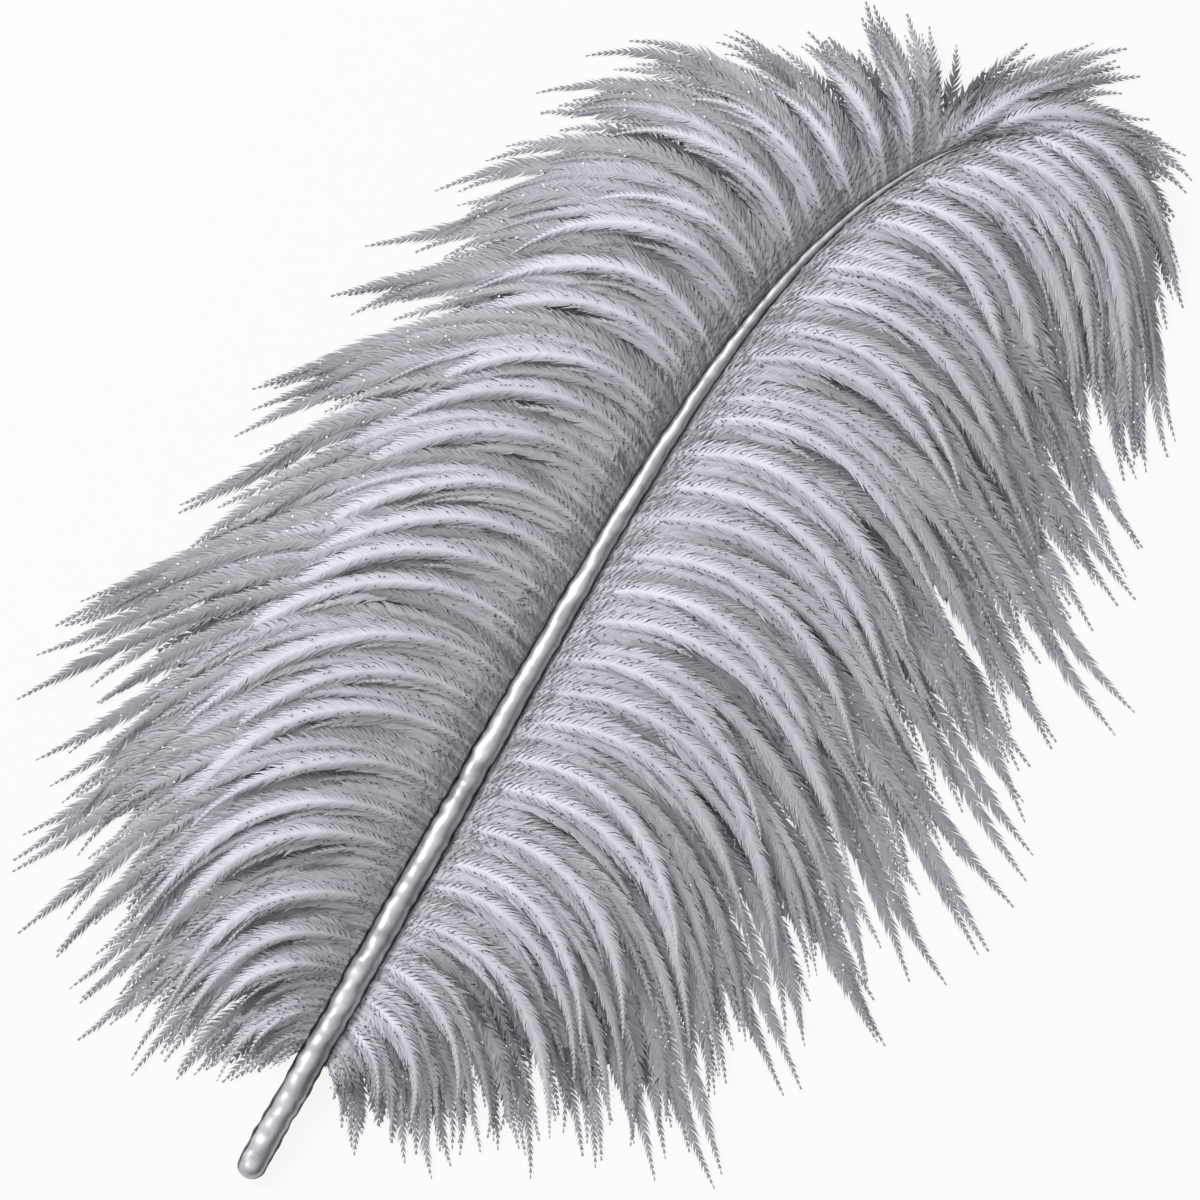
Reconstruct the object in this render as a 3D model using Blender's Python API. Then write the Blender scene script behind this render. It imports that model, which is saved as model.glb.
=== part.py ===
"""Ostrich plume lying on a flat surface: the shaft and its two soft vanes.

Run with:  blender --background --python part.py

Every barb of a vane leaves the shaft at an angle, arches up, curls back
towards the quill and comes down to the surface at its tip. Guide barbs give
that angle, curl and reach at a few stations along the shaft, and each vane is
the closed skin lofted through the barbs in between. The plume lies along +Y
from quill to tip, +X is the wider vane's side, and +Z is up. Its bounding
box stands on the origin.
"""

import bpy
import numpy as np
from mathutils import Vector

# Shaft, in metres. A station is a share of the shaft's length, 0 at the quill.
SHAFT_LENGTH = 0.405
QUILL_RADIUS = 0.00435
HAIR_RADIUS = 0.00012
TAPER_START = 2.4
TAPER_FALL = 1.4
BEND = np.radians(58.0)
BEND_START = 0.2
BEND_SHARPNESS = 4.6
SHAFT_LIFT = 0.0070
RUN_ON = 0.0045
ROUND_END_RINGS = 6
SHAFT_RINGS = 64
SHAFT_SIDES_RESOLUTION = 6

# Vanes
FIRST_BARB = 0.09
SHAFT_GAP = 0.0003
ROWS = 40
COLUMNS = 15
ROW_CROWDING = 1.35
CURL_SHARPNESS = 1.8
MARGIN_START = 0.82
CREST_LIFT = 0.0125
FULL_REACH = 0.150
ROOT_THICKNESS = 0.0022
BODY_THICKNESS = 0.0038
MARGIN_THICKNESS = 0.0014

# Guide barbs: station, angle off the shaft and curl in degrees, share of the curl that comes late, reach in metres
LEFT_GUIDES = [
    (0.09, 102, 70, 0, 0.016),
    (0.13, 92, 82, 0, 0.058),
    (0.20, 80, 94, 0, 0.106),
    (0.32, 71, 93, 0, 0.146),
    (0.46, 66, 88, 0, 0.158),
    (0.60, 58, 94, 0.05, 0.150),
    (0.72, 49, 104, 0.2, 0.124),
    (0.80, 50, 108, 0.55, 0.102),
    (0.85, 55, 100, 0.7, 0.082),
    (0.89, 61, 70, 0.8, 0.060),
    (0.92, 64, 24, 0.6, 0.046),
    (0.94, 58, -14, 0.3, 0.046),
    (0.96, 48, -40, 0.1, 0.048),
    (0.98, 34, -60, 0, 0.056),
    (1.00, 0, -70, 0, 0.066),
]
RIGHT_GUIDES = [
    (0.09, 95, 70, 0, 0.020),
    (0.13, 78, 80, 0, 0.058),
    (0.20, 58, 90, 0, 0.106),
    (0.32, 48, 92, 0, 0.146),
    (0.46, 43, 88, 0, 0.166),
    (0.60, 40, 84, 0, 0.170),
    (0.72, 36, 84, 0, 0.156),
    (0.80, 32, 86, 0, 0.128),
    (0.85, 29, 89, 0, 0.118),
    (0.92, 23, 90, 0, 0.118),
    (0.96, 14, 80, 0, 0.102),
    (1.00, 0, 70, 0, 0.066),
]
LEFT, RIGHT = -1, 1


def clear_scene():
    for thing in list(bpy.data.objects):
        bpy.data.objects.remove(thing)


def make_material(name, colour, roughness, metallic):
    material = bpy.data.materials.new(name)
    material.use_nodes = True
    shader = material.node_tree.nodes["Principled BSDF"]
    shader.inputs["Base Color"].default_value = (*colour, 1.0)
    shader.inputs["Roughness"].default_value = roughness
    shader.inputs["Metallic"].default_value = metallic
    return material


def bearing(station):
    """Turn of the shaft towards +X, in radians from +Y: straight, then ever sharper."""
    return BEND * np.clip((station - BEND_START) / (1 - BEND_START), 0, 1) ** BEND_SHARPNESS


def radius(station):
    """The quill keeps its width for a third of the length, then tapers to a hair."""
    return QUILL_RADIUS * (1 - np.clip(station, 0, 1) ** TAPER_START) ** TAPER_FALL + HAIR_RADIUS


def running_sum(steps):
    """Sum of the trapezia up to each column, from zero."""
    middles = (steps[..., 1:] + steps[..., :-1]) / 2
    start = np.zeros(steps.shape[:-1] + (1,))
    return np.concatenate([start, np.cumsum(middles, axis=-1)], axis=-1)


def shaft_centre(station):
    """Points of the centre line: its bearing summed along the length, and a low arch in z."""
    fine = np.linspace(0, 1, 801)
    step = SHAFT_LENGTH * (fine[1] - fine[0])
    below = np.minimum(station, 0)
    x = np.interp(station, fine, running_sum(np.sin(bearing(fine)) * step))
    y = np.interp(station, fine, running_sum(np.cos(bearing(fine)) * step)) + below * SHAFT_LENGTH
    z = QUILL_RADIUS + HAIR_RADIUS + SHAFT_LIFT * np.sin(np.pi * (station - below))
    return np.stack([x, y, z], axis=-1)


def between_guides(guides, column, station):
    """One column of the guide barbs at any station: cubic pieces that never overshoot."""
    table = np.array(guides, dtype=float)
    at, value = table[:, 0], table[:, column]
    slope = np.diff(value) / np.diff(at)
    product = slope[1:] * slope[:-1]
    total = np.where(product > 0, slope[1:] + slope[:-1], 1.0)
    inner = np.where(product > 0, 2 * product / total, 0.0)
    tangent = np.concatenate([slope[:1], inner, slope[-1:]])
    cell = np.clip(np.searchsorted(at, station, side="right") - 1, 0, len(at) - 2)
    width = at[cell + 1] - at[cell]
    u = (station - at[cell]) / width
    return (
        (2 * u**3 - 3 * u**2 + 1) * value[cell]
        + (u**3 - 2 * u**2 + u) * width * tangent[cell]
        + (3 * u**2 - 2 * u**3) * value[cell + 1]
        + (u**3 - u**2) * width * tangent[cell + 1]
    )


def barb_grid(guides, side, stations, shares):
    """Plan positions (rows, columns, 2) along each station's barb, and each barb's reach."""
    leave = np.radians(between_guides(guides, 1, stations))[:, None]
    curl = np.radians(between_guides(guides, 2, stations))[:, None]
    late = between_guides(guides, 3, stations)[:, None]
    reach = between_guides(guides, 4, stations)[:, None]
    turned = (1 - late) * (1 - (1 - shares[None]) ** CURL_SHARPNESS) + late * shares[None] ** CURL_SHARPNESS
    heading = bearing(stations)[:, None] + side * (leave + curl * turned)
    step = reach * (shares[1] - shares[0])
    along = np.stack([running_sum(np.sin(heading) * step), running_sum(np.cos(heading) * step)], -1)
    clear = side * (radius(stations) + SHAFT_GAP)
    across = np.stack([np.cos(bearing(stations)), -np.sin(bearing(stations))], -1)
    root = shaft_centre(stations)[:, :2] + clear[:, None] * across
    return root[:, None] + along, reach


def vane_heights(stations, shares, reach):
    """Underside and top of a vane: from the shaft's side over a crest to the flat margin."""
    inward = np.clip(shares / MARGIN_START, 0, 1)[None]
    root = (shaft_centre(stations)[:, 2] - ROOT_THICKNESS / 2)[:, None]
    crest = CREST_LIFT * np.clip(reach / FULL_REACH, 0, 1)
    fall = 1 - inward**2 * (3 - 2 * inward)
    underside = root * fall + crest * np.sin(np.pi * inward**0.8) ** 1.5
    outward = np.clip((shares - 0.5) / 0.5, 0, 1)[None]
    filled = np.sin(np.pi / 2 * np.clip(2 * shares, 0, 1))[None]
    body = ROOT_THICKNESS + (BODY_THICKNESS - ROOT_THICKNESS) * filled
    thickness = body + (MARGIN_THICKNESS - body) * outward
    underside = np.where(inward >= 1, 0.0, underside)
    return underside, underside + thickness


def grid_faces(rows, columns):
    """Closed skin over a top and an underside grid: both sheets and the four edge strips."""
    top = np.arange(rows * columns).reshape(rows, columns)
    under = top + rows * columns

    def strip(first, second):
        return np.stack([first[:-1], first[1:], second[1:], second[:-1]], -1).reshape(-1, 4)

    def sheet(grid):
        return np.stack([grid[:-1, :-1], grid[1:, :-1], grid[1:, 1:], grid[:-1, 1:]], -1).reshape(-1, 4)

    return np.concatenate([
        sheet(top),
        sheet(under)[:, ::-1],
        strip(under[:, 0], top[:, 0]),
        strip(top[:, -1], under[:, -1]),
        strip(top[0], under[0]),
        strip(under[-1], top[-1]),
    ])


def add_vane(name, guides, side, material, collection):
    """Loft through the barbs of one side, a wavy closed sheet of felted down."""
    crowding = np.linspace(0, 1, ROWS)
    stations = FIRST_BARB + (1 - FIRST_BARB) * (1 - (1 - crowding) ** ROW_CROWDING)
    shares = np.linspace(0, 1, 2 * COLUMNS - 1)
    plan, reach = barb_grid(guides, side, stations, shares)
    underside, top = vane_heights(stations, shares, reach)
    plan, underside, top = plan[:, ::2], underside[:, ::2], top[:, ::2]
    points = np.concatenate([
        np.concatenate([plan, top[..., None]], -1).reshape(-1, 3),
        np.concatenate([plan, underside[..., None]], -1).reshape(-1, 3),
    ])
    faces = grid_faces(ROWS, COLUMNS)
    if side == RIGHT:
        faces = faces[:, ::-1]
    mesh = bpy.data.meshes.new(name)
    mesh.from_pydata(points.tolist(), [], faces.tolist())
    mesh.shade_smooth()
    mesh.set_sharp_from_angle(angle=np.radians(50))
    mesh.materials.append(material)
    vane = bpy.data.objects.new(name, mesh)
    collection.objects.link(vane)
    return vane


def add_shaft(name, material, collection):
    """A bevelled curve whose radius follows the taper, with the quill's end rounded off."""
    end_radius = radius(0.0)
    turn = np.linspace(np.radians(20), np.radians(90), ROUND_END_RINGS)
    end_stations = (end_radius * (1 - np.cos(turn)) - RUN_ON) / SHAFT_LENGTH
    body_stations = np.linspace(end_stations[-1], 1, SHAFT_RINGS)[1:]
    stations = np.concatenate([end_stations, body_stations])
    radii = np.concatenate([end_radius * np.sin(turn), radius(body_stations)])
    centres = shaft_centre(stations)

    curve = bpy.data.curves.new(name, "CURVE")
    curve.dimensions = "3D"
    curve.bevel_depth = 1.0
    curve.bevel_resolution = SHAFT_SIDES_RESOLUTION
    curve.use_fill_caps = True
    spline = curve.splines.new("POLY")
    spline.points.add(len(centres) - 1)
    for point, centre, size in zip(spline.points, centres, radii):
        point.co = (*centre, 1.0)
        point.radius = size
    curve.materials.append(material)
    shaft = bpy.data.objects.new(name, curve)
    collection.objects.link(shaft)
    return shaft


def stand_on_origin(pieces):
    """Move every piece alike so that the whole box's bottom centre is the origin."""
    bpy.context.view_layer.update()
    corners = np.array([piece.matrix_world @ Vector(c) for piece in pieces for c in piece.bound_box])
    low, high = corners.min(axis=0), corners.max(axis=0)
    for piece in pieces:
        piece.location = (-(low[0] + high[0]) / 2, -(low[1] + high[1]) / 2, -low[2])


def main():
    clear_scene()
    collection = bpy.data.collections.new("ostrich_feather")
    bpy.context.scene.collection.children.link(collection)
    horn = make_material("silvered_quill", (0.62, 0.62, 0.65), 0.3, 0.8)
    down = make_material("silver_grey_down", (0.60, 0.60, 0.65), 0.9, 0.0)
    shaft = add_shaft("shaft", horn, collection)
    left = add_vane("vane_left", LEFT_GUIDES, LEFT, down, collection)
    right = add_vane("vane_right", RIGHT_GUIDES, RIGHT, down, collection)
    stand_on_origin([shaft, left, right])


main()
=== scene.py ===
import bpy
import numpy as np
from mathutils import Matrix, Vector


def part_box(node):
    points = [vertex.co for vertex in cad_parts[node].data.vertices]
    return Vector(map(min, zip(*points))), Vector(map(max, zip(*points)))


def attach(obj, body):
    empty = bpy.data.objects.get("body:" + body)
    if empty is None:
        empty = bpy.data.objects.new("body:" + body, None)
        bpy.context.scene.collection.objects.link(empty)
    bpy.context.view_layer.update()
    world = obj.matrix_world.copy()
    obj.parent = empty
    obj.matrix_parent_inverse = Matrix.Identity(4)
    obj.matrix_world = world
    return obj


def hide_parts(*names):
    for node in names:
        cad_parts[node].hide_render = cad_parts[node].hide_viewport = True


# Ostrich plume lying flat: a lumpy silver shaft and two vanes grown as separate fluffy barbs.

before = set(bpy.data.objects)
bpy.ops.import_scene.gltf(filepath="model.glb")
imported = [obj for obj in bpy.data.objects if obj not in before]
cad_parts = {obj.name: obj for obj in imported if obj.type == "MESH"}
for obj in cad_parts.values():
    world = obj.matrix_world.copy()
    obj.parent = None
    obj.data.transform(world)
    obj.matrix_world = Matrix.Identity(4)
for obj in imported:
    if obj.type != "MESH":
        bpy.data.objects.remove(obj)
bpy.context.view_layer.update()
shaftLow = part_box("shaft")[0]

# The plume's own sizes, in metres and degrees. A station is a share of the shaft, 0 at the quill.
plume = {
    "shaftLength": 0.405,
    "quillRadius": 0.00435,
    "hairRadius": 0.00012,
    "taper": (2.4, 1.4),
    "bend": 58.0,
    "bendStart": 0.2,
    "bendSharpness": 4.6,
    "shaftLift": 0.0070,
    "runOn": 0.0045,
    "curlSharpness": 1.8,
    "marginStart": 0.82,
    "crestLift": 0.0125,
    "fullReach": 0.150,
    "skinThickness": 0.0036,
}

# Guide barbs: station, angle off the shaft, curl, share of the curl that comes late, reach in metres.
# Spacing is the distance between locks below the crown.
vanes = {
    "left": {
        "side": -1,
        "seed": 11,
        "spacing": 0.0126,
        "guides": [
            (0.09, 102, 70, 0, 0.016),
            (0.13, 92, 82, 0, 0.058),
            (0.20, 80, 94, 0, 0.106),
            (0.32, 71, 93, 0, 0.146),
            (0.46, 66, 88, 0, 0.158),
            (0.60, 58, 96, 0.05, 0.140),
            (0.72, 49, 106, 0.2, 0.119),
            (0.80, 50, 108, 0.55, 0.102),
            (0.83, 56, 80, 0.6, 0.084),
            (0.857, 58, 50, 0.6, 0.064),
            (0.88, 59, 46, 0.5, 0.054),
            (0.895, 50, 32, 0.3, 0.055),
            (0.91, 33, -22, 0.1, 0.062),
            (0.93, 25, -54, 0, 0.069),
            (0.95, 19, -68, 0, 0.068),
            (0.97, 12, -70, 0, 0.062),
            (1.00, 0, -70, 0, 0.054),
        ],
    },
    "right": {
        "side": 1,
        "seed": 23,
        "spacing": 0.0114,
        "guides": [
            (0.09, 95, 70, 0, 0.020),
            (0.13, 78, 80, 0, 0.058),
            (0.20, 58, 90, 0, 0.108),
            (0.32, 48, 92, 0, 0.150),
            (0.46, 43, 88, 0, 0.167),
            (0.60, 40, 84, 0, 0.168),
            (0.72, 36, 84, 0, 0.154),
            (0.80, 32, 88, 0, 0.128),
            (0.85, 29, 92, 0, 0.118),
            (0.92, 23, 92, 0, 0.122),
            (0.96, 15, 86, 0, 0.106),
            (1.00, 1, 76, 0, 0.068),
        ],
    },
}

# Locks: groups of barbs that arch together, closer at the crown
locks = {"first": 0.095, "crownSpacing": 0.0086, "crownFrom": 0.80, "jitter": 0.2}

# Layers of barbs, from the lowest up. Reach is a share of the vane's own reach there, lengths are in metres
# and angles in degrees. Spread 0 sets the barbs evenly, and otherwise it is their width about their lock.
# Fade is the length over which the barbules shorten to the end, and their share left there.
# Tone is partly the down's own random tone and partly painted light: the low layers are painted darker, as
# shade, and the raised heroes and crests lighter, as lit. Lines set how strongly each barbule's edges are
# painted light and dark, and hollow how far a layer sinks between locks and how much painted shade it takes
# there.
layers = {
    "under": {
        "perLock": 6, "spread": 0, "pull": 0.0, "reach": (0.40, 0.78), "step": 0.0024,
        "barbule": 0.0062, "leaf": 0.0013, "lean": (40, 24), "droop": (0, 6), "lift": -0.0036, "frizz": 6,
        "fade": (0.020, 0.3), "tone": (0.12, 0.30), "curl": 0, "wander": 2.0,
        "hook": 0, "hollow": 0.5, "inner": 0, "lines": 0.2, "dots": 0, "specks": 0,
    },
    "mass": {
        "perLock": 10, "spread": 0, "pull": 0.25, "reach": (0.58, 0.88), "step": 0.0018,
        "barbule": 0.0058, "leaf": 0.0008, "lean": (36, 18), "droop": (4, 12), "lift": -0.0018, "frizz": 6,
        "fade": (0.026, 0.2), "tone": (0.48, 0.72), "curl": -3, "wander": 1.8,
        "hook": 8, "hollow": 1.0, "inner": 0.05, "lines": 0.42, "dots": 0, "specks": 0.012,
    },
    "tips": {
        "perLock": 5, "spread": 0.9, "pull": 0.45, "reach": (0.79, 1.05), "step": 0.0020,
        "barbule": 0.0058, "leaf": 0.0010, "lean": (32, 16), "droop": (4, 12), "lift": -0.0012, "frizz": 3,
        "fade": (0.026, 0.12), "tone": (0.40, 0.60), "curl": -6, "wander": 2.2,
        "hook": 22, "hollow": 1.0, "inner": 0.05, "lines": 0.5, "dots": 0, "specks": 0.03,
    },
    "root": {
        "perLock": 6, "spread": 0, "pull": 0.0, "reach": (0.24, 0.48), "step": 0.0018,
        "barbule": 0.0050, "leaf": 0.0011, "lean": (30, 16), "droop": (8, 14), "lift": 0.0006, "frizz": 4,
        "fade": (0.020, 0.3), "tone": (0.66, 0.84), "curl": 0, "wander": 1.0,
        "hook": 0, "hollow": 0.8, "inner": 0, "lines": 0.3, "dots": 0.10, "specks": 0,
    },
    "crest": {
        "perLock": 4, "spread": 0.28, "pull": 0.1, "reach": (0.45, 0.86), "step": 0.0016,
        "barbule": 0.0047, "leaf": 0.0008, "lean": (32, 17), "droop": (10, 18), "lift": 0.0014, "frizz": 3,
        "fade": (0.035, 0.12), "tone": (0.58, 0.84), "curl": 7, "wander": 1.6,
        "hook": 4, "hollow": 0.8, "inner": 0, "lines": 0.65, "dots": 0.2, "specks": 0.003,
    },
    "hero": {
        "perLock": 1, "spread": 0.2, "pull": 0.0, "reach": (0.56, 0.80), "step": 0.0016,
        "barbule": 0.0064, "leaf": 0.0008, "lean": (35, 17), "droop": (14, 24), "lift": 0.0046, "frizz": 2,
        "fade": (0.035, 0.12), "tone": (0.90, 1.05), "curl": 15, "wander": 1.2,
        "hook": 4, "hollow": 0.0, "inner": 0, "lines": 0.75, "dots": 0.3, "specks": 0,
    },
}

# Hollows lie between the locks: at and width are shares of a lock's spacing, from and to are shares of reach.
# Depth sinks the barbs there, and tone paints them darker as painted shade.
hollows = {
    "at": -0.48, "width": 0.15, "depth": 0.0040, "tone": 0.62, "from": 0.22, "to": 0.46, "crownStart": 0.90,
}

# How each lock and barb strays from its guide, in shares, degrees or metres
straying = {
    "lockReach": 0.03, "lockLeave": 1.4, "lockCurl": 2.2, "lockHigh": 0.0010, "crownReach": 0.14, "sway": 1.6,
    "drift": 0.0022, "jostle": 0.0007, "grooveDepth": 0.0034, "grooveWidth": 0.006, "lowest": 0.0006,
}

# Dots are painted shade: dark marks in two rows near the shaft, where the gaps between barbules lie in shade.
# Specks are painted glints over the outer part. Stem is half a barb's own width.
flecks = {"dotLong": 0.0009, "dotWide": 0.0005, "dotAside": 0.0013, "dotTo": 0.42, "speck": 0.0007}
stem = 0.00024
edgeTone = 0.06


def bearing(station):
    # bend * ((station - start) / (1 - start)) ^ sharpness, clockwise from +Y
    late = np.clip((station - plume["bendStart"]) / (1 - plume["bendStart"]), 0, 1)
    return np.radians(plume["bend"]) * late ** plume["bendSharpness"]


def shaftRadius(station):
    # quill * (1 - station ^ a) ^ b + hair
    a, b = plume["taper"]
    return plume["quillRadius"] * (1 - np.clip(station, 0, 1) ** a) ** b + plume["hairRadius"]


def runningSum(steps):
    # sum of the trapezia up to each column, from zero
    middles = (steps[..., 1:] + steps[..., :-1]) / 2
    return np.concatenate([np.zeros(steps.shape[:-1] + (1,)), np.cumsum(middles, axis=-1)], axis=-1)


quillRim = plume["quillRadius"] + plume["hairRadius"]
quillTuck = quillRim * (1 - np.cos(np.radians(20)))
quillEnd = np.array([shaftLow[0] + quillRim, shaftLow[1] + plume["runOn"] - quillTuck])


def shaftCentre(station):
    # the bearing summed along the length from the quill's end, and a low arch in z
    length = plume["shaftLength"]
    fine = np.linspace(0, 1, 801)
    step = length * (fine[1] - fine[0])
    below = np.minimum(station, 0)
    x = np.interp(station, fine, runningSum(np.sin(bearing(fine)) * step)) + quillEnd[0]
    y = np.interp(station, fine, runningSum(np.cos(bearing(fine)) * step)) + quillEnd[1] + below * length
    z = quillRim + plume["shaftLift"] * np.sin(np.pi * (station - below))
    return np.stack([x, y, z], axis=-1)


def betweenGuides(guides, column, station):
    # one column of the guide barbs at any station: cubic pieces that never overshoot
    table = np.array(guides, dtype=float)
    at, value = table[:, 0], table[:, column]
    slope = np.diff(value) / np.diff(at)
    product = slope[1:] * slope[:-1]
    total = np.where(product > 0, slope[1:] + slope[:-1], 1.0)
    tangent = np.concatenate([slope[:1], np.where(product > 0, 2 * product / total, 0.0), slope[-1:]])
    cell = np.clip(np.searchsorted(at, station, side="right") - 1, 0, len(at) - 2)
    width = at[cell + 1] - at[cell]
    u = (np.clip(station, at[0], at[-1]) - at[cell]) / width
    return ((2 * u**3 - 3 * u**2 + 1) * value[cell] + (u**3 - 2 * u**2 + u) * width * tangent[cell]
            + (3 * u**2 - 2 * u**3) * value[cell + 1] + (u**3 - u**2) * width * tangent[cell + 1])


def barbPlan(side, station, leave, curl, late, distance, bent, extra):
    # plan path: heading = bearing + side * (leave + curl * turned + extra), summed in steps, where
    # turned = (1 - late) * (1 - (1 - bent) ^ sharpness) + late * bent ^ sharpness
    late, power = late[:, None], plume["curlSharpness"]
    turned = (1 - late) * (1 - (1 - bent) ** power) + late * bent**power
    heading = bearing(station)[:, None] + side * (np.radians(leave[:, None] + curl[:, None] * turned) + extra)
    stride = np.maximum(np.diff(distance, axis=1, prepend=0), 0)
    x = np.cumsum(np.sin(heading) * stride, axis=1)
    y = np.cumsum(np.cos(heading) * stride, axis=1)
    across = np.stack([np.cos(bearing(station)), -np.sin(bearing(station))], axis=-1)
    root = shaftCentre(station)[:, :2] + across * (side * shaftRadius(station) * 0.5)[:, None]
    return root[:, None] + np.stack([x, y], axis=-1)


def skinHeight(station, shares, reach):
    # middle of the CAD vane: the shaft's height falling smoothly to 0 at the margin, plus the crest's arch
    inward = np.clip(shares / plume["marginStart"], 0, 1)
    root = shaftCentre(station)[:, 2][:, None]
    crest = plume["crestLift"] * np.clip(reach / plume["fullReach"], 0, 1)[:, None]
    fall = 1 - inward**2 * (3 - 2 * inward)
    arch = root * fall + crest * np.sin(np.pi * inward**0.8) ** 1.5
    return arch + plume["skinThickness"] / 2 * (1 - 0.6 * inward)


def smoothStep(x):
    # 3 * x ^ 2 - 2 * x ^ 3, held between 0 and 1
    x = np.clip(x, 0, 1)
    return x * x * (3 - 2 * x)


def lockStations(rng, wide):
    # stations at which the running count of locks, length over spacing, passes each whole number
    fine = np.linspace(locks["first"], 1.0, 2001)
    crown = smoothStep((fine - locks["crownFrom"]) / (0.95 - locks["crownFrom"]))
    spacing = wide + (locks["crownSpacing"] - wide) * crown
    count = runningSum(plume["shaftLength"] * (fine[1] - fine[0]) / spacing)
    whole = np.arange(0, count[-1])
    whole = whole + rng.uniform(-locks["jitter"], locks["jitter"], len(whole))
    return np.interp(np.clip(whole, 0, count[-1]), count, fine), fine, count


def unit(vectors):
    # vector / its length
    return vectors / np.maximum(np.linalg.norm(vectors, axis=-1, keepdims=True), 1e-12)


def growBarbs(vane, layer, rng, lockAt, fine, count):
    # Every barb's path, drawn towards its lock's own path by pull * smoothStep(share of reach).
    # height = skin + lift + jostle - depth * sunk + drift - groove, where between two locks
    # sunk = e ^ -(offset / width) ^ 2, and beside the shaft groove = depth * e ^ -(distance / width) ^ 2
    side, guides = vane["side"], vane["guides"]
    lockCount = len(lockAt)
    lockPlace = np.interp(lockAt, fine, count)
    amount = lockCount * layer["perLock"]
    rank = np.arange(amount) + 0.5
    if layer["spread"] == 0:
        place = rank / amount * count[-1] + 0.4 / layer["perLock"] * rng.uniform(-1, 1, amount)
    else:
        inLock = (rank % layer["perLock"]) / layer["perLock"] - 0.5
        place = np.repeat(lockPlace, layer["perLock"]) + layer["spread"] * inLock
    place = np.clip(place, 0, count[-1])
    lock = np.abs(place[:, None] - lockPlace[None]).argmin(axis=1)
    offset = place - lockPlace[lock]
    offset = (offset - hollows["at"] + 0.5) % 1 - 0.5
    station = np.interp(place, count, fine)
    lockRng = np.random.default_rng(vane["seed"] + 500)
    lockReach = 1 + straying["lockReach"] * lockRng.normal(size=lockCount).clip(-1.6, 1.4)
    lockLeave = straying["lockLeave"] * lockRng.normal(size=lockCount).clip(-1.5, 1.5)
    lockCurl = straying["lockCurl"] * lockRng.normal(size=lockCount).clip(-1.5, 1.5)
    lockHigh = straying["lockHigh"] * lockRng.normal(size=lockCount).clip(-1.5, 1.5)
    low, high = layer["reach"]
    longer = rng.uniform(0, 1, amount) ** 1.2
    scale = low + (high - low) * longer
    if layer["lift"] > 0 and high > 0.5:
        scale = scale * (1 + straying["crownReach"] * smoothStep((station - 0.76) / 0.12))

    def shape(where, jitter):
        # angle, curl, late share and reach: the guides' value there + the lock's own + jitter * a random draw
        here = np.interp(where, fine, count)
        leave = betweenGuides(guides, 1, where) + np.interp(here, lockPlace, lockLeave)
        curl = betweenGuides(guides, 2, where) + np.interp(here, lockPlace, lockCurl)
        late = np.clip(betweenGuides(guides, 3, where), 0, 1)
        far = betweenGuides(guides, 4, where) * np.interp(here, lockPlace, lockReach)
        leave = leave + jitter * rng.normal(size=amount)
        curl = curl + jitter * 1.5 * rng.normal(size=amount)
        return leave, curl, late, far

    leave, curl, late, fullReach = shape(station, layer["wander"])
    curl = curl + layer["curl"] * smoothStep((0.94 - station) / 0.1)
    reach = fullReach * scale
    longest = reach.max()
    distance = np.arange(0, longest + layer["step"], layer["step"])[None].repeat(amount, axis=0)
    run = np.clip(distance / reach[:, None], 0, 1)
    shares = run * scale[:, None]
    bent = np.clip(shares / np.minimum(0.5 + 0.55 * scale[:, None], 1), 0, 1)
    bow = 0.9 - 1.5 * longer[:, None] + rng.uniform(-0.3, 0.3, (amount, 1))
    hook = layer["hook"] * bow * smoothStep((run - 0.72) / 0.28)
    swaySize = straying["sway"] * rng.normal(size=(amount, 1))
    swayTurns = run * rng.uniform(1, 2, (amount, 1))
    sway = swaySize * np.sin(2 * np.pi * (swayTurns + rng.uniform(0, 1, (amount, 1))))
    small = np.clip(fullReach / 0.09, 0.35, 1)[:, None]
    grown = distance * (run < 1)
    own = barbPlan(side, station, leave, curl, late, grown, bent, np.radians(hook + sway))
    if layer["pull"] > 0:
        guideLeave, guideCurl, guideLate, _ = shape(lockAt[lock], 0.0)
        led = barbPlan(side, lockAt[lock], guideLeave, guideCurl, guideLate, grown, bent, np.radians(hook))
        pull = (layer["pull"] * smoothStep(shares / 0.8))[..., None]
        own = own * (1 - pull) + led * pull

    skin = skinHeight(station, shares, fullReach)
    rise = smoothStep(shares / 0.24)
    lift = (layer["lift"] + lockHigh[lock])[:, None] * rise * (1 - 0.6 * smoothStep((shares - 0.45) / 0.4))
    sunk = layer["hollow"] * np.exp(-((offset / hollows["width"]) ** 2))[:, None]
    sunk = sunk * (1 - smoothStep((station - hollows["crownStart"]) / 0.05))[:, None]
    sunk = sunk * smoothStep((shares - 0.03) / hollows["from"])
    sunk = sunk * (1 - smoothStep((shares - hollows["to"]) / 0.25))
    drift = straying["drift"] * rng.uniform(-0.3, 1, (amount, 1)) * smoothStep((run - 0.55) / 0.45)
    jostle = straying["jostle"] * rng.normal(size=(amount, 1)) * rise
    groove = straying["grooveDepth"] * np.exp(-((distance / straying["grooveWidth"]) ** 2))
    height = skin + small * (lift + jostle - hollows["depth"] * sunk) + drift - groove
    paths = np.concatenate([own, np.maximum(height, straying["lowest"])[..., None]], axis=-1)
    # the mass and tips are painted darker near the shaft: painted shade in the gaps between the raised heroes
    inner = layer["inner"] * (1 - smoothStep((shares - 0.36) / 0.2))
    # tone = the barb's own tone, less painted shade in the hollows between locks and, for some layers, near
    # the shaft
    tone = rng.uniform(*layer["tone"], amount)[:, None] - hollows["tone"] * sunk - inner
    left = np.maximum(reach[:, None] - distance, 0)
    return paths, distance < reach[:, None], left, run, shares, small, tone


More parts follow.
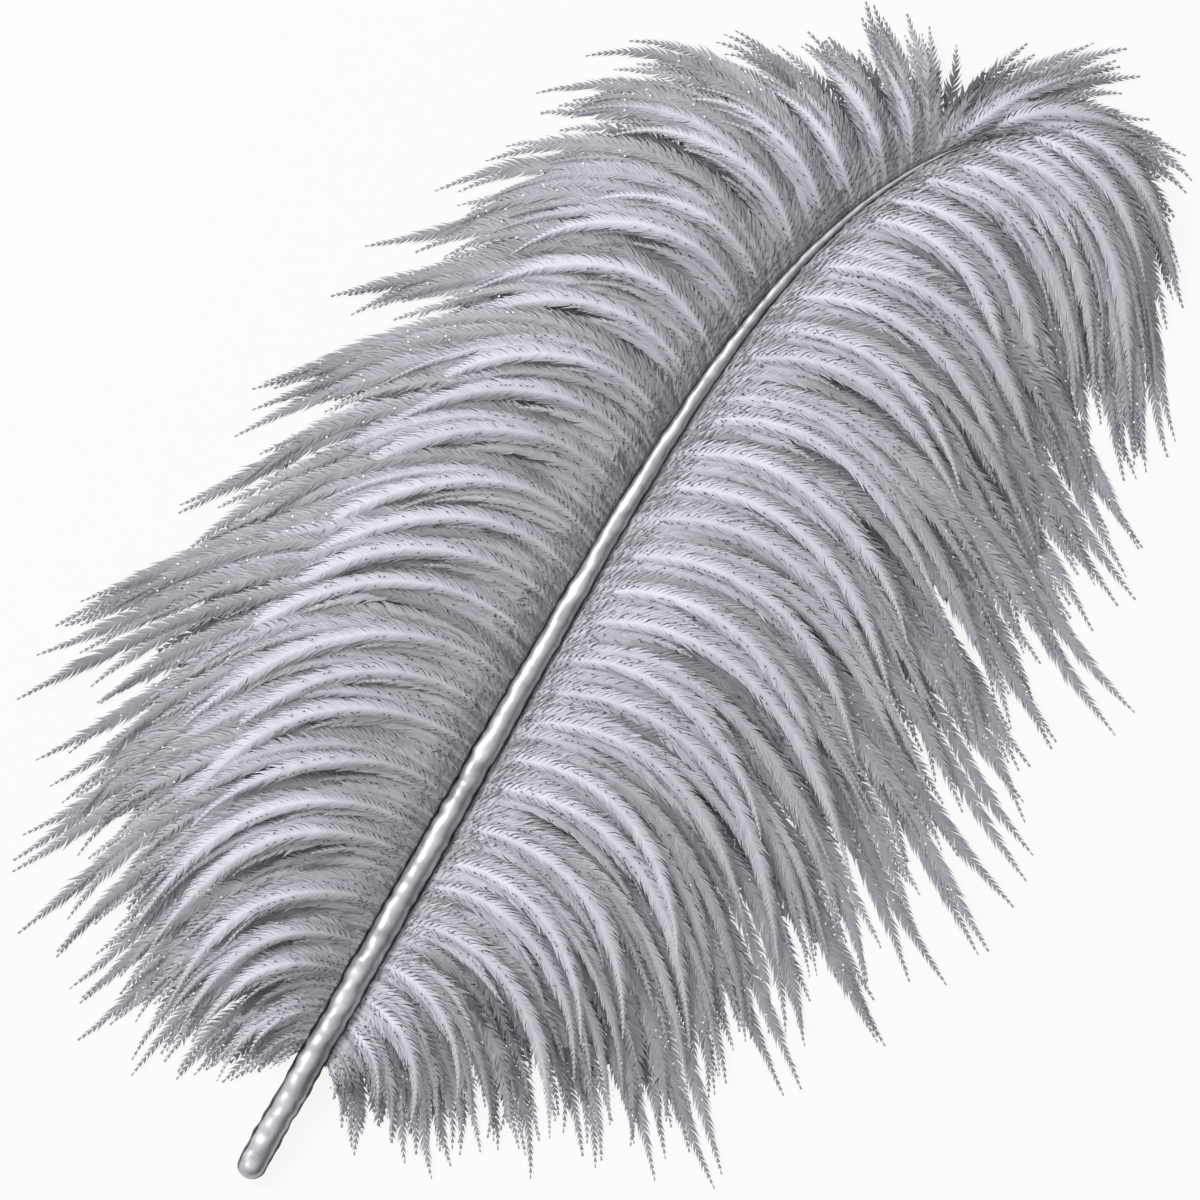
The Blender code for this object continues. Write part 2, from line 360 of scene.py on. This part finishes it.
def featherBarbs(layer, rng, paths, alive, left, run, shares, small, tone):
    # Each step of a barb carries a leaf-like barbule on either side: an edge on the barb, a middle pair and a
    # point. direction = cos(lean) * along + sin(lean) * (hand * cos(droop) * across - sin(droop) * up)
    along = unit(np.gradient(paths, axis=1))
    up = np.zeros_like(along)
    up[..., 2] = 1
    up = unit(up - along * (along * up).sum(-1, keepdims=True))
    across = np.cross(along, up)
    amount, rings = run.shape
    roll = np.radians(rng.normal(size=(amount, 1, 1)) * 8)
    up, across = up * np.cos(roll) + across * np.sin(roll), across * np.cos(roll) - up * np.sin(roll)
    fadeLength, least = layer["fade"]
    fadeLength = fadeLength * np.clip(small, 0.55, 1)
    full = np.clip((left - 0.002) / fadeLength, 0, 1) ** 0.8
    size = (0.6 + 0.4 * smoothStep(run / 0.12)) * (least + (1 - least) * full)
    size = layer["barbule"] * (0.75 + 0.25 * small) * size
    aside = stem * np.clip(left / 0.006, 0.15, 1)[:, :-1, None]
    slim = (0.45 + 0.55 * full)[:, :-1, None]
    ids = np.arange(amount * rings).reshape(amount, rings)
    live = alive[:, 1:].reshape(-1)
    base, nextBase = ids[:, :-1].reshape(-1), ids[:, 1:].reshape(-1)
    many = amount * (rings - 1)
    t0, t1 = shares[:, :-1].reshape(-1), shares[:, 1:].reshape(-1)
    root, a, b, n = paths[:, :-1], along[:, :-1], across[:, :-1], up[:, :-1]
    shape = (amount, rings - 1, 1)
    points, faces, places = [paths.reshape(-1, 3)], [], []
    total = amount * rings

    def addPoints(corners):
        # appends each corner's grid of points, kept above the surface, and returns their numbers
        nonlocal total
        for corner in corners:
            corner[..., 2] = np.maximum(corner[..., 2], 0.0002)
            points.append(corner.reshape(-1, 3))
        first = total
        total += len(corners) * many
        return [first + k * many + np.arange(many) for k in range(len(corners))]

    def addFaces(trio, u, v, keep):
        # one triangle a step where keep holds, wound so that it faces up on either hand, with its two places
        order = [0, 1, 2] if hand < 0 else [2, 1, 0]
        faces.append(np.stack(trio, -1)[keep][:, order])
        places.append(np.stack([np.stack(u, -1), np.stack(v, -1)], -1)[keep][:, order])

    for hand in (-1, 1):
        length = size[:, :-1, None] * rng.uniform(0.85, 1.15, shape)
        tilt = rng.normal(size=shape) * layer["frizz"] * 0.7
        lean0 = np.radians(layer["lean"][0] * slim + rng.normal(size=shape) * layer["frizz"])
        lean1 = np.radians(layer["lean"][1] * slim + rng.normal(size=shape) * layer["frizz"] * 1.3)
        droop0, droop1 = np.radians(layer["droop"][0] + tilt), np.radians(layer["droop"][1] + tilt)
        first = np.cos(lean0) * a + np.sin(lean0) * (hand * np.cos(droop0) * b - np.sin(droop0) * n)
        last = np.cos(lean1) * a + np.sin(lean1) * (hand * np.cos(droop1) * b - np.sin(droop1) * n)
        middle = root + 0.5 * layer["step"] * a + 0.45 * length * first + aside * hand * b
        width = layer["leaf"] * np.clip(length / layer["barbule"], 0.3, 1)
        tip = middle + 0.55 * length * last
        edge = width * a + 0.00012 * n
        lowId, highId, tipId = addPoints([middle - edge, middle + edge, tip])
        own = tone[:, :-1].reshape(-1) + rng.normal(size=many) * 0.04

        def shade(value):
            # own tone + (value - half) * lines, held between the two tones that the flecks keep
            tones = np.clip(own + (value - 0.5) * layer["lines"], 0, 1)
            return edgeTone + (1 - 2 * edgeTone) * tones

        # each barbule is painted light at its low edge and dark at its raised high edge: painted highlight
        # and shade that draw the herringbone lines
        addFaces((base, nextBase, highId), (t0, t1, t1), (shade(0.4), shade(0.4), shade(0.05)), live)
        addFaces((base, highId, lowId), (t0, t1, t0), (shade(0.4), shade(0.05), shade(1.0)), live)
        addFaces((lowId, highId, tipId), (t0, t1, t1), (shade(1.0), shade(0.05), shade(0.8)), live)

        # small dots painted dark as shade lie in two rows along the barb near the shaft, and pale specks
        # painted as glints over its outer part
        chance = rng.uniform(size=many)
        dotted = live & (chance < layer["dots"]) & (t0 < flecks["dotTo"]) & (t0 > 0.04)
        spot = root + hand * flecks["dotAside"] * b + (0.0007 + rng.uniform(-0.0002, 0.0002, shape)) * n
        spot = spot + rng.normal(size=shape) * 0.0003 * a
        half = 0.5 * flecks["dotWide"] * b * hand
        trio = addPoints([spot - half, spot + half, spot + flecks["dotLong"] * a])
        addFaces(trio, (t0, t0, t0), [np.full(many, 0.02)] * 3, dotted)
        specked = live & (chance > 1 - layer["specks"]) & (t0 > 0.45)
        spot = root + rng.uniform(-1, 1, shape) * 0.003 * b + rng.uniform(0.0008, 0.0022, shape) * n
        half = 0.5 * flecks["speck"] * b * hand
        trio = addPoints([spot - half, spot + half, spot + flecks["speck"] * a])
        addFaces(trio, (t0, t0, t0), [np.full(many, 0.98)] * 3, specked)
    places = np.concatenate(places)
    places[..., 0] = 0.005 + 0.99 * places[..., 0].clip(0, 1)
    return np.concatenate(points), np.concatenate(faces), places


def triangleMesh(name, points, triangles, places):
    # keeps only the points in use and fills the mesh from whole arrays
    used, compact = np.unique(triangles, return_inverse=True)
    compact = compact.reshape(-1).astype(np.int32)
    mesh = bpy.data.meshes.new(name)
    mesh.vertices.add(len(used))
    mesh.vertices.foreach_set("co", points[used].astype(np.float32).reshape(-1))
    mesh.loops.add(len(compact))
    mesh.loops.foreach_set("vertex_index", compact)
    mesh.polygons.add(len(triangles))
    mesh.polygons.foreach_set("loop_start", np.arange(0, len(compact), 3, dtype=np.int32))
    layer = mesh.uv_layers.new(name="OFBake")
    layer.uv.foreach_set("vector", places.astype(np.float32).reshape(-1))
    mesh.update(calc_edges=True)
    mesh.validate()
    mesh.shade_smooth()
    piece = bpy.data.objects.new(name, mesh)
    bpy.context.scene.collection.objects.link(piece)
    return piece


def link(tree, fromSocket, toSocket):
    # one wire between two sockets
    tree.links.new(fromSocket, toSocket)


def mathNode(tree, operation, a, b=None, clamp=False):
    # operation(a, b), where each is a number or another node's output
    node = tree.nodes.new("ShaderNodeMath")
    node.operation, node.use_clamp = operation, clamp
    for socket, value in zip(node.inputs, (a, b)):
        if value is None:
            continue
        if isinstance(value, (int, float)):
            socket.default_value = value
        else:
            link(tree, value, socket)
    return node.outputs[0]


# Light and dark span the tones, part of which is painted light; root is painted shade beside the shaft, dot
# the dots' painted shade and speck the specks' painted glint.
downLook = {
    "light": (0.68, 0.68, 0.74, 1), "dark": (0.10, 0.10, 0.113, 1), "tip": (0.26, 0.26, 0.29, 1),
    "root": (0.12, 0.12, 0.133, 1), "dot": (0.06, 0.06, 0.07, 1), "speck": (0.95, 0.95, 0.97, 1),
    "roughness": 0.62, "sheen": 0.1,
}


def downGroup():
    # colour = dark to light by tone, painted darker at the barb's root as shade beside the shaft, and greyer
    # at its tip.
    # The lowest tone gives the dots their painted shade and the highest gives the specks their painted
    # glints.
    group = bpy.data.node_groups.new("downColour", "ShaderNodeTree")
    for name in ("Light", "Dark", "Tip", "Root", "Dot", "Speck"):
        group.interface.new_socket(name=name, in_out="INPUT", socket_type="NodeSocketColor")
    group.interface.new_socket(name="Place", in_out="INPUT", socket_type="NodeSocketVector")
    group.interface.new_socket(name="Colour", in_out="OUTPUT", socket_type="NodeSocketColor")
    nodes = group.nodes
    given, result = nodes.new("NodeGroupInput"), nodes.new("NodeGroupOutput")
    parts = nodes.new("ShaderNodeSeparateXYZ")
    link(group, given.outputs["Place"], parts.inputs[0])

    def mix(factor, a, b):
        # a * (1 - factor) + b * factor
        node = nodes.new("ShaderNodeMix")
        node.data_type = "RGBA"
        link(group, factor, node.inputs["Factor"])
        link(group, a, node.inputs[6])
        link(group, b, node.inputs[7])
        return node.outputs[2]

    def ramp(axis, low, high, smooth=True):
        # 0 at low to 1 at high along one axis of the place
        node = nodes.new("ShaderNodeMapRange")
        node.interpolation_type = "SMOOTHSTEP" if smooth else "LINEAR"
        link(group, parts.outputs[axis], node.inputs["Value"])
        node.inputs["From Min"].default_value, node.inputs["From Max"].default_value = low, high
        return node.outputs["Result"]

    body = mix(ramp("Y", edgeTone, 1 - edgeTone, False), given.outputs["Dark"], given.outputs["Light"])
    tipped = mix(mathNode(group, "MULTIPLY", ramp("X", 0.50, 0.95), 0.65), body, given.outputs["Tip"])
    # painted shade: the colour turns towards the dark root colour over the first 4 % of the reach, beside the
    # shaft
    fromRoot = mathNode(group, "SUBTRACT", 0.65, mathNode(group, "MULTIPLY", ramp("X", 0.0, 0.04), 0.65))
    rooted = mix(fromRoot, tipped, given.outputs["Root"])
    isDot = mathNode(group, "LESS_THAN", parts.outputs["Y"], 0.5 * edgeTone)
    isSpeck = mathNode(group, "GREATER_THAN", parts.outputs["Y"], 1 - 0.5 * edgeTone)
    specked = mix(isSpeck, mix(isDot, rooted, given.outputs["Dot"]), given.outputs["Speck"])
    link(group, specked, result.inputs["Colour"])
    return group


def downMaterial(group):
    # matt down with a faint sheen, its colour from the group by share of the reach and tone
    material = bpy.data.materials.new("silverDown")
    material.use_nodes = True
    tree = material.node_tree
    shader = tree.nodes["Principled BSDF"]
    place = tree.nodes.new("ShaderNodeUVMap")
    place.uv_map = "OFBake"
    colour = tree.nodes.new("ShaderNodeGroup")
    colour.node_tree = group
    for name in ("Light", "Dark", "Tip", "Root", "Dot", "Speck"):
        colour.inputs[name].default_value = downLook[name.lower()]
    link(tree, place.outputs["UV"], colour.inputs["Place"])
    link(tree, colour.outputs["Colour"], shader.inputs["Base Color"])
    shader.inputs["Roughness"].default_value = downLook["roughness"]
    shader.inputs["Sheen Weight"].default_value = downLook["sheen"]
    shader.inputs["Sheen Roughness"].default_value = 0.5
    shader.inputs["Specular IOR Level"].default_value = 0.25
    return material


downMat = downMaterial(downGroup())
for vaneName, vane in vanes.items():
    rng = np.random.default_rng(vane["seed"])
    lockAt, fine, count = lockStations(rng, vane["spacing"])
    for layerName, layer in layers.items():
        grown = growBarbs(vane, layer, rng, lockAt, fine, count)
        points, triangles, places = featherBarbs(layer, rng, *grown)
        piece = triangleMesh(f"{layerName}_barbs_{vaneName}", points, triangles, places)
        piece.data.materials.append(downMat)
        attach(piece, "root")
        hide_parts(f"vane_{vaneName}")
        print(piece.name, "barbs", len(grown[0]), "locks", len(lockAt), "triangles", len(triangles))

# Shaft: lumpy silvered horn
# dark and band paint a dark line of shade along each flank, where the shaft meets the barbs
shaftLook = {
    "rings": 460, "sides": 56, "lump": 0.042, "light": (0.50, 0.50, 0.53, 1), "dark": (0.02, 0.02, 0.023, 1),
    "band": 0.26, "bandEdge": (0.18, 0.40), "roughness": (0.30, 0.44), "metallic": 0.85, "mottle": 250.0,
    "bump": 0.34, "bumpDepth": 0.0005,
}


def waves(rng, count, *axes):
    # sum of sin(coordinates * random numbers + random phase) / root of the count
    total = 0
    for _ in range(count):
        phase = rng.uniform(0, 2 * np.pi)
        total = total + np.sin(sum(axis * rng.normal() for axis in axes) + phase)
    return total / np.sqrt(count)


def silverShaft():
    # rings of radius shaftRadius * (1 + lumps) around the centre line, rounded over at the quill's end
    rng = np.random.default_rng(5)
    endTurn = np.linspace(0.02, np.pi / 2, 14)
    endStations = (quillRim * (1 - np.cos(endTurn)) - plume["runOn"]) / plume["shaftLength"]
    stations = np.concatenate([endStations, np.linspace(endStations[-1], 1, shaftLook["rings"])[1:]])
    radii = np.concatenate([quillRim * np.sin(endTurn), shaftRadius(stations[len(endTurn):])])
    around = np.linspace(0, 2 * np.pi, shaftLook["sides"], endpoint=False)
    centre = shaftCentre(stations)
    turn = bearing(stations)
    across = np.stack([np.cos(turn), -np.sin(turn), 0 * turn], -1)
    travel = stations[:, None] * plume["shaftLength"] * 1000
    cosine, sine = np.cos(around)[None], np.sin(around)[None]
    lump = waves(rng, 14, 0.8 * travel, 2.2 * cosine, 2.2 * sine)
    lump = lump + 0.7 * waves(rng, 8, 0.4 * travel, 1.6 * cosine, 1.6 * sine)
    lump = lump * smoothStep((stations + 0.011) / 0.01)[:, None]
    size = radii[:, None] * (1 + shaftLook["lump"] * lump)
    ring = across[:, None] * cosine[..., None] + np.array([0, 0, 1.0]) * sine[..., None]
    points = centre[:, None] + ring * size[..., None]
    points[..., 2] = np.maximum(points[..., 2], 0.0001)
    rows, sides = size.shape
    ids = np.arange(rows * sides).reshape(rows, sides)
    nextIds = np.roll(ids, -1, axis=1)
    quads = np.stack([ids[:-1], nextIds[:-1], nextIds[1:], ids[1:]], -1).reshape(-1, 4)
    faces = quads.tolist() + [ids[0][::-1].tolist(), ids[-1].tolist()]
    mesh = bpy.data.meshes.new("silver_shaft")
    mesh.from_pydata(points.reshape(-1, 3).tolist(), [], faces)
    column = np.tile(np.arange(sides), rows - 1)
    row = np.repeat(np.arange(rows - 1), sides)
    u = np.stack([row, row, row + 1, row + 1], -1) / (rows - 1) * 0.98 + 0.01
    v = np.stack([column, column + 1, column + 1, column], -1) / sides * 0.98 + 0.01
    ends = np.concatenate([np.full(2 * sides, 0.005), np.full(2 * sides, 0.25)]).reshape(2, -1).T
    ends[sides:, 0] = 0.995
    ends[:, 1] = np.tile(0.245 + 0.005 * np.arange(sides) / sides, 2)
    layer = mesh.uv_layers.new(name="OFBake")
    layer.uv.foreach_set("vector", np.concatenate([np.stack([u, v], -1).reshape(-1, 2), ends]).reshape(-1))
    mesh.shade_smooth()
    piece = bpy.data.objects.new("silver_shaft", mesh)
    bpy.context.scene.collection.objects.link(piece)
    return piece


def silverGroup():
    # height = sin(turn around the shaft); colour = dark to light by smoothstep(|height - band|), a painted
    # dark line of shade along each flank just above its widest point, with paler and darker mottles;
    # roughness = low to high by the same mottles
    group = bpy.data.node_groups.new("silverColour", "ShaderNodeTree")
    for name in ("Light", "Dark"):
        group.interface.new_socket(name=name, in_out="INPUT", socket_type="NodeSocketColor")
    for name in ("Place", "Position"):
        group.interface.new_socket(name=name, in_out="INPUT", socket_type="NodeSocketVector")
    group.interface.new_socket(name="Colour", in_out="OUTPUT", socket_type="NodeSocketColor")
    for name in ("Roughness", "Height"):
        group.interface.new_socket(name=name, in_out="OUTPUT", socket_type="NodeSocketFloat")
    nodes = group.nodes
    given, result = nodes.new("NodeGroupInput"), nodes.new("NodeGroupOutput")
    parts, noise = nodes.new("ShaderNodeSeparateXYZ"), nodes.new("ShaderNodeTexNoise")
    noise.inputs["Scale"].default_value, noise.inputs["Detail"].default_value = shaftLook["mottle"], 2.0
    link(group, given.outputs["Place"], parts.inputs[0])
    link(group, given.outputs["Position"], noise.inputs["Vector"])
    top = mathNode(group, "SINE", mathNode(group, "MULTIPLY", parts.outputs["Y"], 2 * np.pi))
    spread = nodes.new("ShaderNodeMapRange")
    spread.interpolation_type = "SMOOTHSTEP"
    spread.inputs["From Min"].default_value, spread.inputs["From Max"].default_value = shaftLook["bandEdge"]
    cloud = mathNode(group, "MULTIPLY", mathNode(group, "SUBTRACT", noise.outputs["Fac"], 0.5), 1.1)
    uneven = mathNode(group, "ADD", top, mathNode(group, "MULTIPLY", cloud, 0.25))
    away = mathNode(group, "ABSOLUTE", mathNode(group, "SUBTRACT", uneven, shaftLook["band"]))
    link(group, away, spread.inputs["Value"])
    clouded = mathNode(group, "MULTIPLY", cloud, spread.outputs["Result"])
    share = mathNode(group, "ADD", spread.outputs["Result"], clouded, clamp=True)
    mix = nodes.new("ShaderNodeMix")
    mix.data_type = "RGBA"
    link(group, share, mix.inputs["Factor"])
    link(group, given.outputs["Dark"], mix.inputs[6])
    link(group, given.outputs["Light"], mix.inputs[7])
    low, high = shaftLook["roughness"]
    rough = mathNode(group, "ADD", mathNode(group, "MULTIPLY", noise.outputs["Fac"], high - low), low)
    link(group, mix.outputs[2], result.inputs["Colour"])
    link(group, rough, result.inputs["Roughness"])
    link(group, noise.outputs["Fac"], result.inputs["Height"])
    return group


def silverMaterial():
    # silvered horn: colour and roughness from the group, and low lumps from its mottles
    material = bpy.data.materials.new("silveredHorn")
    material.use_nodes = True
    tree = material.node_tree
    shader = tree.nodes["Principled BSDF"]
    shader.inputs["Metallic"].default_value = shaftLook["metallic"]
    place, where = tree.nodes.new("ShaderNodeUVMap"), tree.nodes.new("ShaderNodeTexCoord")
    place.uv_map = "OFBake"
    look = tree.nodes.new("ShaderNodeGroup")
    look.node_tree = silverGroup()
    for name in ("Light", "Dark"):
        look.inputs[name].default_value = shaftLook[name.lower()]
    bump = tree.nodes.new("ShaderNodeBump")
    bump.inputs["Strength"].default_value = shaftLook["bump"]
    bump.inputs["Distance"].default_value = shaftLook["bumpDepth"]
    link(tree, place.outputs["UV"], look.inputs["Place"])
    link(tree, where.outputs["Object"], look.inputs["Position"])
    link(tree, look.outputs["Colour"], shader.inputs["Base Color"])
    link(tree, look.outputs["Roughness"], shader.inputs["Roughness"])
    link(tree, look.outputs["Height"], bump.inputs["Height"])
    link(tree, bump.outputs["Normal"], shader.inputs["Normal"])
    return material


silver = silverShaft()
silver.data.materials.append(silverMaterial())
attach(silver, "root")
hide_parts("shaft")
print("shaft made")

# Studio: pale floor, a wide softbox from the upper left of the view, a dome that is brightest overhead
studio = {
    "roll": 29.5, "frameWidth": 0.360, "distance": 1.6, "centre": (0.0075, 0.1994),
    "keyEnergy": 6.6, "keySize": 0.35, "keyHeight": 1.0, "keyAway": 0.85, "keyTurn": (-0.85, 0.53),
    "bright": 1.36, "dim": 0.05, "domeLean": 42.0, "floorSpan": 6.0, "floorGlow": 0.9,
}


def makeStudio():
    # frame width = sensor * distance / lens, and the dome's light = dim to bright by direction . lean
    scene = bpy.context.scene
    scene.view_settings.view_transform = "Standard"
    roll = np.radians(studio["roll"])
    centre = quillEnd + np.array(studio["centre"])
    viewUp = np.array([-np.sin(roll), np.cos(roll)])
    viewRight = np.array([np.cos(roll), np.sin(roll)])

    lens = bpy.data.cameras.new("camera")
    lens.sensor_width = 36
    lens.lens = 36 * studio["distance"] / studio["frameWidth"]
    camera = bpy.data.objects.new("camera", lens)
    camera.location = (centre[0], centre[1], studio["distance"] + 0.01)
    camera.rotation_euler = (0, 0, roll)
    scene.collection.objects.link(camera)
    scene.camera = camera

    world = bpy.data.worlds.new("studio")
    world.use_nodes = True
    tree = world.node_tree
    sky, way = tree.nodes["Background"], tree.nodes.new("ShaderNodeTexCoord")
    facing, ramp = tree.nodes.new("ShaderNodeVectorMath"), tree.nodes.new("ShaderNodeMapRange")
    facing.operation = "DOT_PRODUCT"
    turnRight, turnUp = studio["keyTurn"]
    level = (viewUp * turnUp + viewRight * turnRight) * np.sin(np.radians(studio["domeLean"]))
    facing.inputs[1].default_value = (level[0], level[1], np.cos(np.radians(studio["domeLean"])))
    link(tree, way.outputs["Generated"], facing.inputs[0])
    link(tree, facing.outputs["Value"], ramp.inputs["Value"])
    ramp.inputs["From Min"].default_value = -0.2
    ramp.inputs["To Min"].default_value, ramp.inputs["To Max"].default_value = studio["dim"], studio["bright"]
    link(tree, ramp.outputs["Result"], sky.inputs["Strength"])
    sky.inputs["Color"].default_value = (1, 1, 1, 1)
    scene.world = world

    def areaLight(name, energy, size, place):
        # a square lamp aimed at the middle of the frame
        lamp = bpy.data.lights.new(name, "AREA")
        lamp.energy, lamp.size = energy, size
        light = bpy.data.objects.new(name, lamp)
        light.location = place
        aim = np.array([centre[0], centre[1], 0.0]) - np.array(place)
        light.rotation_euler = Vector(aim).to_track_quat("-Z", "Y").to_euler()
        scene.collection.objects.link(light)

    keySpot = centre + (viewUp * turnUp + viewRight * turnRight) * studio["keyAway"]
    areaLight("key", studio["keyEnergy"], studio["keySize"], (keySpot[0], keySpot[1], studio["keyHeight"]))

    floorMesh = bpy.data.meshes.new("floor")
    span = studio["floorSpan"]
    corners = [(-span, -span, 0), (span, -span, 0), (span, span, 0), (-span, span, 0)]
    floorMesh.from_pydata(corners, [], [(0, 1, 2, 3)])
    floor = bpy.data.objects.new("floor", floorMesh)
    scene.collection.objects.link(floor)
    material = bpy.data.materials.new("paper")
    material.use_nodes = True
    tree = material.node_tree
    shader = tree.nodes["Principled BSDF"]
    shader.inputs["Base Color"].default_value = (0.8, 0.8, 0.8, 1)
    shader.inputs["Roughness"].default_value = 0.9
    glow = tree.nodes.new("ShaderNodeEmission")
    glow.inputs["Color"].default_value = (0.98, 0.98, 0.98, 1)
    mixer = tree.nodes.new("ShaderNodeMixShader")
    ray = tree.nodes.new("ShaderNodeLightPath")
    factor = mathNode(tree, "MULTIPLY", ray.outputs["Is Camera Ray"], studio["floorGlow"])
    link(tree, factor, mixer.inputs["Fac"])
    link(tree, shader.outputs[0], mixer.inputs[1])
    link(tree, glow.outputs[0], mixer.inputs[2])
    link(tree, mixer.outputs[0], tree.nodes["Material Output"].inputs["Surface"])
    floorMesh.materials.append(material)


makeStudio()
print("studio made")
